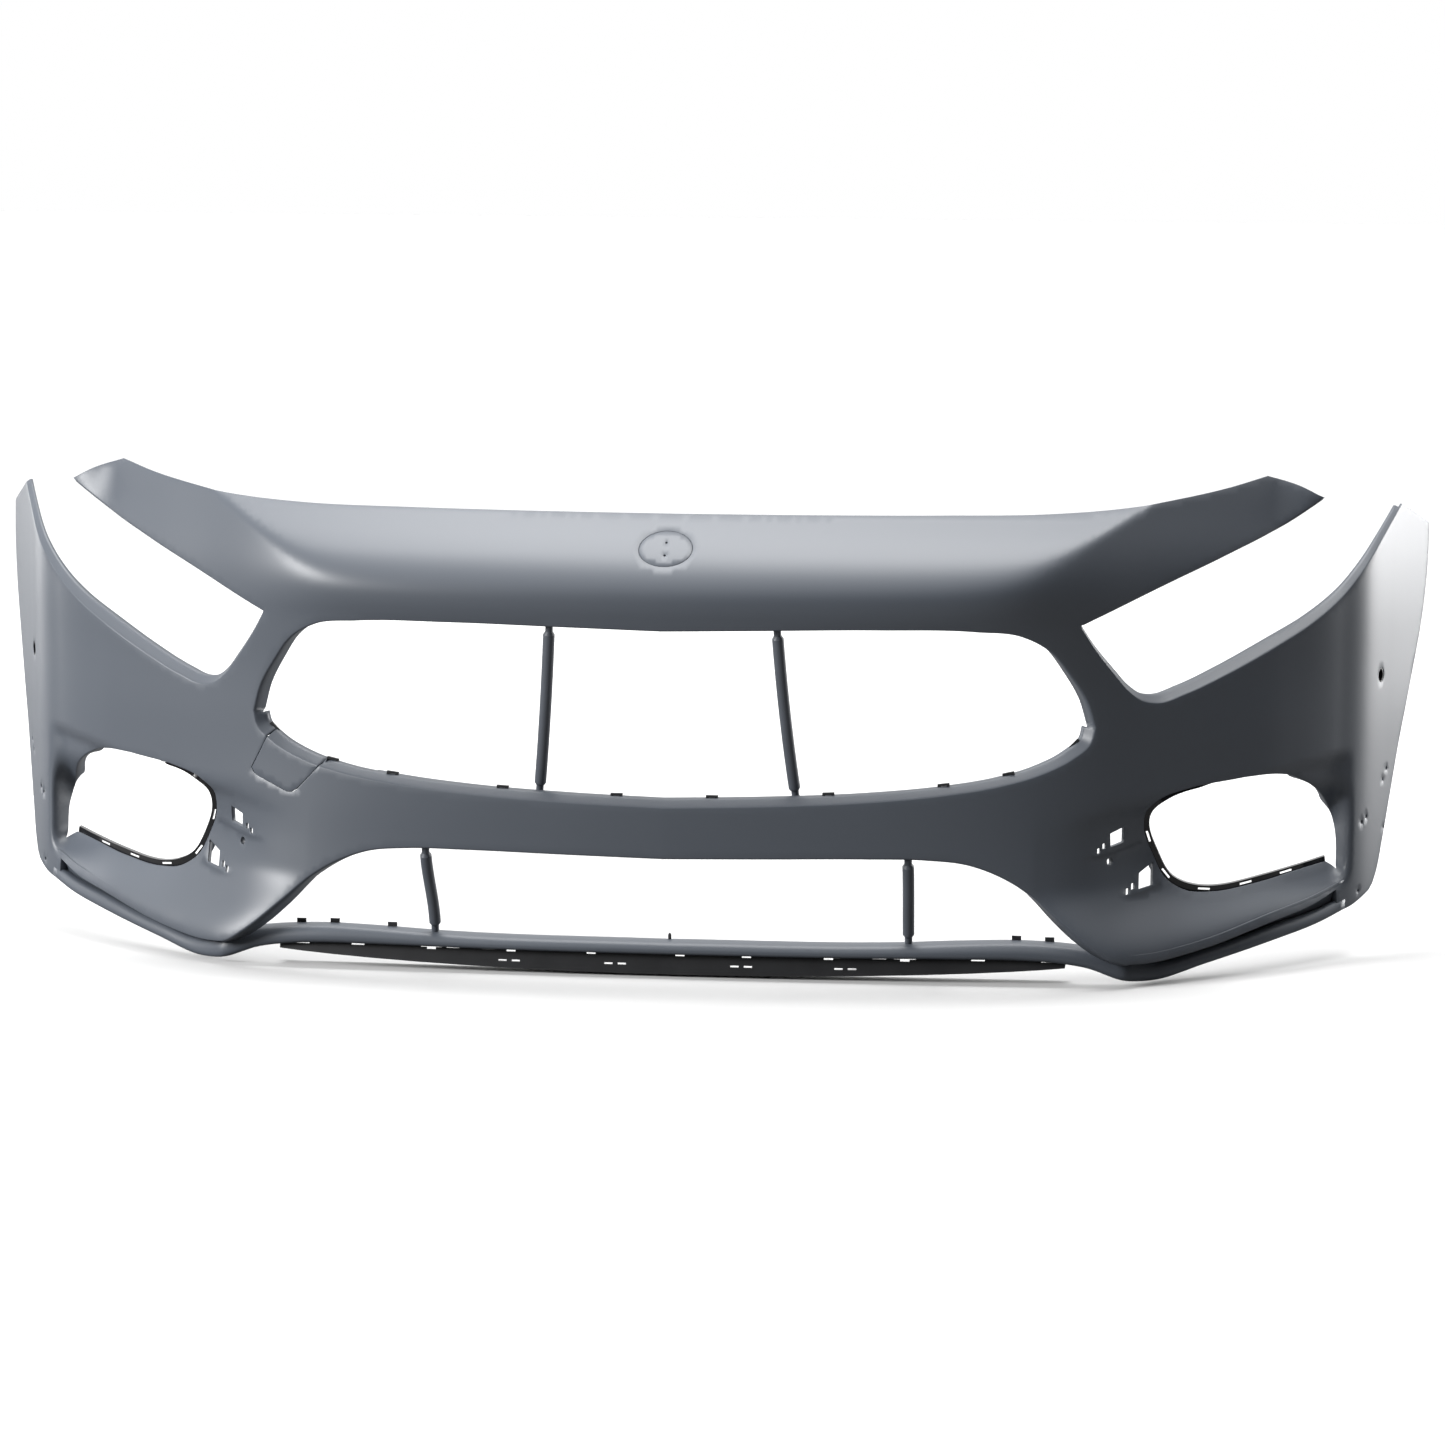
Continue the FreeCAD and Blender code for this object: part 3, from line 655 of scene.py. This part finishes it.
def cover_outline():
    """The skin's whole outline: the right half from the upper edge round to the bar, then the left."""
    stretches = [(spline(TOP_EDGE, STEP), ROLL), (spline(WING_TIP, STEP), ROLL),
                 (spline(WING_LOW, STEP), DEEP), (spline(LAMP, STEP), lamp_profile),
                 (spline(ARM_TOP, STEP), ARCH), (flank_back(), ARCH), (spline(FLANK_FOOT, STEP), ARCH),
                 (spline(NOTCH, STEP), ROLL), (spline(BLADE_LOW_EDGE, STEP), ROLL),
                 (spline(BRIDGE, STEP), DEEP)]
    # every stretch ends on the next one's first point, so the wheel-arch edge meets its neighbours
    for (pts, _), (following, _) in zip(stretches, stretches[1:]):
        pts[-1] = following[0]
    lp = Loop()
    for pts, profile in stretches:
        lp.add(pts, profile)
    for pts, profile in reversed(stretches):
        lp.add(flip(pts), flip_profile(profile))
    return lp


def cap_polygon(grow):
    """The tow eye cap's corners, moved outwards from its middle."""
    cx = sum(x for x, z in CAP) / len(CAP)
    cz = sum(z for x, z in CAP) / len(CAP)
    out = []
    for x, z in CAP:
        d = math.hypot(x - cx, z - cz)
        out.append((x + (x - cx) / d * grow, z + (z - cz) / d * grow))
    return out


def cross_point(a, b, c, d):
    """How far along ab, from 0 to 1, it crosses cd, or None."""
    r = (b[0] - a[0], b[1] - a[1])
    s = (d[0] - c[0], d[1] - c[1])
    den = r[0] * s[1] - r[1] * s[0]
    if den == 0:
        return None
    t = ((c[0] - a[0]) * s[1] - (c[1] - a[1]) * s[0]) / den
    w = ((c[0] - a[0]) * r[1] - (c[1] - a[1]) * r[0]) / den
    if 0 <= t <= 1 and 0 <= w <= 1:
        return t
    return None


def split_by_cap(edge, cap):
    """Where the cap's two side lines cross the opening's lower edge: (index, point) twice."""
    found = []
    for i, (a, b) in enumerate(zip(edge, edge[1:])):
        for c, d in ((cap[0], cap[1]), (cap[-1], cap[-2])):
            t = cross_point(a, b, c, d)
            if t is not None:
                found.append((i, (a[0] + (b[0] - a[0]) * t, a[1] + (b[1] - a[1]) * t)))
    return found


# the cap's two joints run on across the bevel: direction in the front view and sharpness there
INNER_AIM = (0.69, 0.72, 0.77)
OUTER_AIM = (0.486, 0.874, 0.96)


def below_edge(p, aim):
    """Point on the cap's joint just below the opening's lower edge."""
    return (p[0] - aim[0] * CAP_JOINT_SHIFT, p[1] - aim[1] * CAP_JOINT_SHIFT)


def grille_loops():
    """Opening outline of the skin, stepping round the cap's recess, and the cap's own outline."""
    low_left = flip(spline(GRILLE_LOW, STEP))
    skin_cap = cap_polygon(0.0)
    own_cap = cap_polygon(-CAP_GAP)
    (i0, p0), (i1, p1) = split_by_cap(low_left, skin_cap)
    (j0, q0), (j1, q1) = split_by_cap(low_left, own_cap)
    # walking from the centre outwards along the lower edge, then round the recess
    if abs(p0[0]) > abs(p1[0]):
        (i0, p0), (i1, p1) = (i1, p1), (i0, p0)
        (j0, q0), (j1, q1) = (j1, q1), (j0, q0)
    lp = Loop()
    lp.add(spline(GRILLE_TOP, STEP), DEEP)
    lp.add(spline(GRILLE_LOW, STEP), BEVEL)
    lp.add(low_left[:i0 + 1] + [p0], BEVEL)
    lp.add([p0, p0], BEVEL)
    lp.aim[len(lp.pts) - 1] = INNER_AIM
    lp.add([below_edge(p0, INNER_AIM)] + spline_rounded(skin_cap) + [p1], SHUT)
    lp.pts.append(below_edge(p1, OUTER_AIM))
    lp.profile.append(SHUT)
    lp.add([p1, p1], BEVEL)
    lp.aim[len(lp.pts) - 1] = OUTER_AIM
    lp.add(low_left[i1 + 1:], BEVEL)
    lp.add(flip(spline(GRILLE_TOP, STEP)), DEEP)
    cap = Loop()
    cap.add([q1, q1], BEVEL)
    cap.aim[0] = OUTER_AIM
    cap.add(list(reversed(low_left[j0 + 1:j1 + 1])) + [q0], BEVEL)
    cap.add([q0, q0], BEVEL)
    cap.aim[len(cap.pts) - 1] = INNER_AIM
    cap.add([below_edge(q0, INNER_AIM)] + spline_rounded(own_cap) + [q1], SHUT)
    cap.pts.append(below_edge(q1, OUTER_AIM))
    cap.profile.append(SHUT)
    return lp, cap


def spline_rounded(cap):
    """The cap's outline below the opening's edge, from its inner side round to its outer side."""
    body = cap[1:-1]
    out = []
    for a, b in zip(reversed(body), list(reversed(body))[1:]):
        out += spline([a, b], 4.0)[:-1]
    out.append(body[0])
    return out


def feature_lines():
    """Lines that the mesh has to follow, so that creases and ledges stay crisp."""
    lines = []
    for s in (-1, 1):
        lines.append([(s * x, z) for x, z in spline(NOSE_CREASE, STEP)[1:]])
        lines.append([(s * x, brow_z(x) - 2.5) for x in range(470, 555, 5)])
        for pts in LEDGES:
            first = pts[0][0] + 3
            count = int((pts[-1][0] - pts[0][0] - 6) / 3)
            xs = [first + 3.0 * i for i in range(count)]
            lines.append([(s * x, curve(pts, x) + 0.1) for x in xs])
            lines.append([(s * x, curve(pts, x) - 0.5) for x in xs])
    return lines


def window_outline(pts, s):
    """Opening for a fin window on side s, a little larger than the window itself."""
    cx = sum(x for x, z in pts) / len(pts)
    cz = sum(z for x, z in pts) / len(pts)
    grow_x, grow_z = FIN_WINDOW_GROWTH
    middle = cx - FIN_WINDOW_SHIFT
    return [(s * (middle + (x - cx) * grow_x), cz + (z - cz) * grow_z) for x, z in pts]


grille_outline, cap_outline = grille_loops()
holes = [grille_outline]
for s in (-1, 1):
    intake = Loop()
    intake.add(spline(INTAKE, STEP), scaled(DEEP, 0.7))
    intake.add(spline(INTAKE_TIP, STEP), ROLL)
    if s < 0:
        intake.pts = [(-x, z) for x, z in reversed(intake.pts)]
        intake.profile = list(reversed(intake.profile))
    holes.append(intake)
    for x, z, r in RIVETS:
        holes.append(closed([(s * a, b) for a, b in foreshortened(x, z, r, 12)], HOLE))
    holes.append(closed([(s * a, b) for a, b in foreshortened(*SENSOR, 36)], scaled(ROLL, 0.6)))
    holes.append(closed([(s * a, b) for a, b in foreshortened(*PIN_HOLE, 24)], scaled(ROLL, 0.8)))
    for pts in FIN_WINDOWS:
        holes.append(closed(densify(window_outline(pts, s), 4.0), scaled(ROLL, 0.6)))
    for x, z in FIN_SLOTS:
        corners = [(s * (x + dx), z + dz) for dx, dz in FIN_SLOT_CORNERS]
        holes.append(closed(densify(corners, 2.5), HOLE))
badge_pins = [closed(foreshortened(*pin, 12), HOLE) for pin in BADGE_PINS]
holes.append(closed(foreshortened(*BADGE, 90), GROOVE_OUT))

skin = build_sheet("cover_skin_panel", cover_outline(), holes, GRID, PRIMER, feature_lines())
thicken(skin)
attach(skin, "cover")
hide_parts("cover_skin")

disc_edge = closed(foreshortened(BADGE[0], BADGE[1], BADGE[2] - BADGE_GROOVE, 90), GROOVE_IN)
disc = build_sheet("badge_seat", disc_edge, badge_pins, DISC_GRID, PRIMER)
thicken(disc)
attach(disc, "cover")

cap = build_sheet("tow_eye_cap_panel", cap_outline, [], GRID, PRIMER)
thicken(cap)
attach(cap, "tow_cap")
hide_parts("tow_eye_cap")


# ---------------------------------------------------------------- lower lip and hidden sheets

def strip_mesh(name, sections, material):
    """Open strip through sections of equally many points."""
    n = len(sections[0])
    verts = [Vector(p) for s in sections for p in s]
    faces = []
    for i in range(len(sections) - 1):
        for k in range(n - 1):
            a = i * n + k
            faces.append((a, a + 1, a + 1 + n, a + n))
    return new_object(name, verts, faces, material)


def lip_section(x):
    """Cut through the lip at x, from the back of its top over the front to the bottom."""
    yf = lip_front(x)
    zt = curve(LIP_TOP, abs(x))
    zb = curve(LIP_LOW, abs(x))
    h = zt - zb
    cut = [(yf + 30, zt + 0.5), (yf + 22, zt + 0.6), (yf + 15, zt + 0.3), (yf + 10, zt - 0.1),
           (yf + 6.2, zt - 0.12 * h), (yf + 3, zt - 0.3 * h), (yf + 1, zt - 0.5 * h),
           (yf + 0.2, zb + 0.28 * h), (yf + 0.9, zb + 0.14 * h), (yf + 2.6, zb + 0.05 * h), (yf + 5, zb),
           (yf + 9, zb + 0.4), (yf + 16, zb + 2.5)]
    return [(x, y, z) for y, z in cut]


def recess_section(x, s):
    """Cut at x, on side s, through the wall between the lip's top and the blade's lower edge."""
    yf = lip_front(x)
    zt = curve(LIP_TOP, x)
    zb = curve(BLADE_EDGE, x) + 6
    yb = front_y(x, zb)
    cut = [(yf + 22, zt + 0.3), (yf + 21, zt + 3), ((yf + 20 + yb + 5) / 2, (zt + zb) / 2 + 2),
           (yb + 4, zb - 1), (yb + 3, zb + 5)]
    return [(s * x, y, z) for y, z in cut]


lip_sections = []
for i in range(LIP_SECTIONS + 1):
    lip_sections.append(lip_section(-LIP_HALF_WIDTH + 2.0 * LIP_HALF_WIDTH * i / LIP_SECTIONS))
lip = strip_mesh("lower_lip_band", lip_sections, PRIMER)
thicken(lip)
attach(lip, "cover")

for side, s in (("right", 1), ("left", -1)):
    rows = []
    for i in range(RECESS_SECTIONS + 1):
        rows.append(recess_section(RECESS_START + RECESS_WIDTH * i / RECESS_SECTIONS, s))
    wall = strip_mesh("recess_wall_" + side, rows, PRIMER)
    thicken(wall, WALL_THICK)
    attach(wall, "cover")


def level_sheet(name, half_width, height, front, rear, round_holes):
    """Sheet from a front curve to a rear curve; height, front and rear are functions of x."""
    xs = [-half_width + 2.0 * half_width * i / SHEET_COLUMNS for i in range(SHEET_COLUMNS + 1)]
    verts = [Vector((x, front(x))) for x in xs] + [Vector((x, rear(x))) for x in reversed(xs)]
    n = len(verts)
    edges = [(i, (i + 1) % n) for i in range(n)]
    for hx, hy, r in round_holes:
        base = len(verts)
        for i in range(HOLE_SIDES):
            a = 2 * math.pi * i / HOLE_SIDES
            verts.append(Vector((hx + r * math.cos(a), hy + r * math.sin(a))))
            edges.append((base + i, base + (i + 1) % HOLE_SIDES))
    flat, _, tris, _, _, _ = delaunay_2d_cdt(verts, edges, [], 0, MERGE_GAP)
    faces = []
    for t in tris:
        mid = sum((flat[i] for i in t), Vector((0, 0))) / len(t)
        solid = front(mid.x) < mid.y < rear(mid.x)
        if solid and all((mid.x - hx) ** 2 + (mid.y - hy) ** 2 > r * r for hx, hy, r in round_holes):
            f = list(t)
            a, b, c = (flat[i] for i in f[:3])
            if (b - a).cross(c - a) < 0:
                f.reverse()
            faces.append(f)
    obj = new_object(name, [(v.x, v.y, height(v.x)) for v in flat], faces, PRIMER, smooth=False)
    thicken(obj, FLANGE_THICK)
    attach(obj, "cover")


def flange_z(x):
    return SCREW_FLANGE_Z


def flange_front(x):
    return front_y(x, SCREW_FLANGE_Z) + 2.5


def flange_rear(x):
    return max(front_y(x, SCREW_FLANGE_Z) + 34, 108)


def shelf_z(x):
    return curve(BAR_EDGE, abs(x)) + 5


def shelf_front(x):
    return front_y(x, shelf_z(x)) + 9


def shelf_rear(x):
    return front_y(x, shelf_z(x)) + 56


screws = [(k * SCREW_PITCH, SCREW_Y, SCREW_RADIUS) for k in (-1.5, -0.5, 0.5, 1.5)]
level_sheet("screw_flange", SCREW_FLANGE_HALF, flange_z, flange_front, flange_rear, screws)
level_sheet("bar_shelf", BAR_SHELF_HALF, shelf_z, shelf_front, shelf_rear, [])


# ---------------------------------------------------------------- CAD nodes that stay

LOOKS = {"sensor_retainer": BLACK, "sensor_ring": GLOSS, "intake_rail": GLOSS, "upper_strut": STRUT,
         "lower_strut": STRUT, "lower_mount_strip": BLACK, "grille_clips": BLACK, "fender_loops": GREY,
         "lip_tabs": BLACK, "centre_pin": BLACK}
for name, obj in frame["nodes"].items():
    for key, mat in LOOKS.items():
        if name.startswith(key):
            obj.data.materials.clear()
            obj.data.materials.append(mat)
            bev = obj.modifiers.new("Soft edges", "BEVEL")
            bev.width = NODE_BEVEL
            bev.segments = 2
            bev.limit_method = "ANGLE"


# ---------------------------------------------------------------- stage, camera, lights

def area(name, place, target, size_x, size_y, power, color=(1, 1, 1)):
    data = bpy.data.lights.new(name, "AREA")
    data.shape = "RECTANGLE"
    data.size = size_x
    data.size_y = size_y
    data.energy = power
    data.color = color
    obj = bpy.data.objects.new(name, data)
    obj.location = place
    obj.rotation_euler = (Vector(target) - Vector(place)).to_track_quat("-Z", "Y").to_euler()
    bpy.context.scene.collection.objects.link(obj)


FLOOR_HALF = 30.0
FLOOR_GAP = 0.002
floor_z = CAD_BOX[0].z - FLOOR_GAP
floor_corners = [(FLOOR_HALF * a, FLOOR_HALF * b, floor_z) for a, b in ((-1, -1), (1, -1), (1, 1), (-1, 1))]
floor_mesh = bpy.data.meshes.new("studio_floor")
floor_mesh.from_pydata(floor_corners, [], [(0, 1, 2, 3)])
floor = bpy.data.objects.new("studio_floor", floor_mesh)
bpy.context.scene.collection.objects.link(floor)
floor_mat = noise_material("pale_floor", (0.5, 0.5, 0.5), 0.005, 0.9, 0.02, 0.5, spec=0.1)
floor_mesh.materials.append(floor_mat)
# painted shadow: mid grey right round the part, nearly white further away
ft = floor_mat.node_tree
shadow_falloff = ft.nodes.new("ShaderNodeTexGradient")
shadow_falloff.gradient_type = "SPHERICAL"
place = ft.nodes.new("ShaderNodeMapping")
place.inputs["Scale"].default_value = (0.25, 0.25, 0.25)
where = ft.nodes.new("ShaderNodeTexCoord")
ft.links.new(where.outputs["Object"], place.inputs["Vector"])
ft.links.new(place.outputs["Vector"], shadow_falloff.inputs["Vector"])
# colours of the painted shadow on the floor: grey next to the part, fading to near white
floor_shadow_ramp = ft.nodes.new("ShaderNodeValToRGB")
floor_shadow_ramp.color_ramp.elements[0].position = 0.1
floor_shadow_ramp.color_ramp.elements[0].color = (0.98, 0.98, 0.98, 1)
floor_shadow_ramp.color_ramp.elements[1].position = 0.75
floor_shadow_ramp.color_ramp.elements[1].color = (0.5, 0.5, 0.5, 1)
ft.links.new(shadow_falloff.outputs["Fac"], floor_shadow_ramp.inputs["Fac"])
# the floor throws back less light than it shows, as if black flags stood out of view
flags = ft.nodes.new("ShaderNodeMix")
flags.data_type = "RGBA"
flags.inputs["A"].default_value = (0.14, 0.14, 0.14, 1)
shown = ft.nodes.new("ShaderNodeLightPath")
ft.links.new(shown.outputs["Is Camera Ray"], flags.inputs["Factor"])
ft.links.new(floor_shadow_ramp.outputs["Color"], flags.inputs["B"])
ft.links.new(flags.outputs["Result"], ft.nodes["Principled BSDF"].inputs["Base Color"])

# camera: a long lens a little to the right of and above the part, turned slightly about its own axis
AZIMUTH = math.radians(6.0)
ELEVATION = math.radians(8.0)
TURN = math.radians(0.38)
LENS = 113.82976
SENSOR_WIDTH = 36.0
EYE_RIGHT = 70
EYE_UP = 101
EYE_BACK = 5312
cam_data = bpy.data.cameras.new("camera")
cam_data.sensor_width = SENSOR_WIDTH
cam_data.lens = LENS
cam_data.clip_end = 200
camera = bpy.data.objects.new("camera", cam_data)
bpy.context.scene.collection.objects.link(camera)
back = Vector((math.sin(AZIMUTH) * math.cos(ELEVATION), -math.cos(AZIMUTH) * math.cos(ELEVATION),
               math.sin(ELEVATION)))
right = Vector((0, 0, 1)).cross(back).normalized()
up = back.cross(right)
cam_right = right * math.cos(TURN) + up * math.sin(TURN)
cam_up = up * math.cos(TURN) - right * math.sin(TURN)
eye = cam_right * EYE_RIGHT + cam_up * EYE_UP + back * EYE_BACK
axes_as_columns = Matrix((cam_right, cam_up, back)).transposed().to_4x4()
camera.matrix_world = Matrix.Translation(to_row(eye)) @ axes_as_columns
bpy.context.scene.camera = camera

# studio light: white behind and above, dim in front; the camera itself sees plain white
world = bpy.data.worlds.new("studio")
bpy.context.scene.world = world
world.use_nodes = True
wn = world.node_tree


def world_fade(axis, start, end, low, high):
    """Strength that rises smoothly along one axis of the direction."""
    node = wn.nodes.new("ShaderNodeMapRange")
    node.interpolation_type = "SMOOTHSTEP"
    node.inputs["From Min"].default_value = start
    node.inputs["From Max"].default_value = end
    node.inputs["To Min"].default_value = low
    node.inputs["To Max"].default_value = high
    wn.links.new(axes.outputs[axis], node.inputs["Value"])
    return node.outputs["Result"]


direction = wn.nodes.new("ShaderNodeTexCoord")
axes = wn.nodes.new("ShaderNodeSeparateXYZ")
wn.links.new(direction.outputs["Generated"], axes.inputs["Vector"])
total = wn.nodes.new("ShaderNodeMath")
total.operation = "ADD"
wn.links.new(world_fade("Y", 0.0, 0.8, 0.015, 0.95), total.inputs[0])
wn.links.new(world_fade("Z", 0.4, 0.95, 0.0, 1.5), total.inputs[1])
seen = wn.nodes.new("ShaderNodeLightPath")
pick = wn.nodes.new("ShaderNodeMix")
wn.links.new(seen.outputs["Is Camera Ray"], pick.inputs["Factor"])
wn.links.new(total.outputs["Value"], pick.inputs["A"])
pick.inputs["B"].default_value = 1.0
wn.links.new(pick.outputs["Result"], wn.nodes["Background"].inputs["Strength"])
wn.nodes["Background"].inputs["Color"].default_value = (1, 1, 1, 1)

area("key_left", (-3.6, -2.2, 1.2), (-0.6, 0.0, -0.2), 1.6, 1.6, 310)
area("top_soft", (0.2, 0.4, 2.5), (0.1, 0.0, 0.0), 3.0, 1.2, 120)
area("rim_right", (3.2, 2.3, 0.3), (0.9, 0.35, -0.2), 1.0, 2.0, 125)
area("rim_left", (-3.2, 2.0, 0.3), (-0.9, 0.35, -0.2), 1.2, 2.0, 45)

bpy.context.scene.view_settings.view_transform = "Standard"
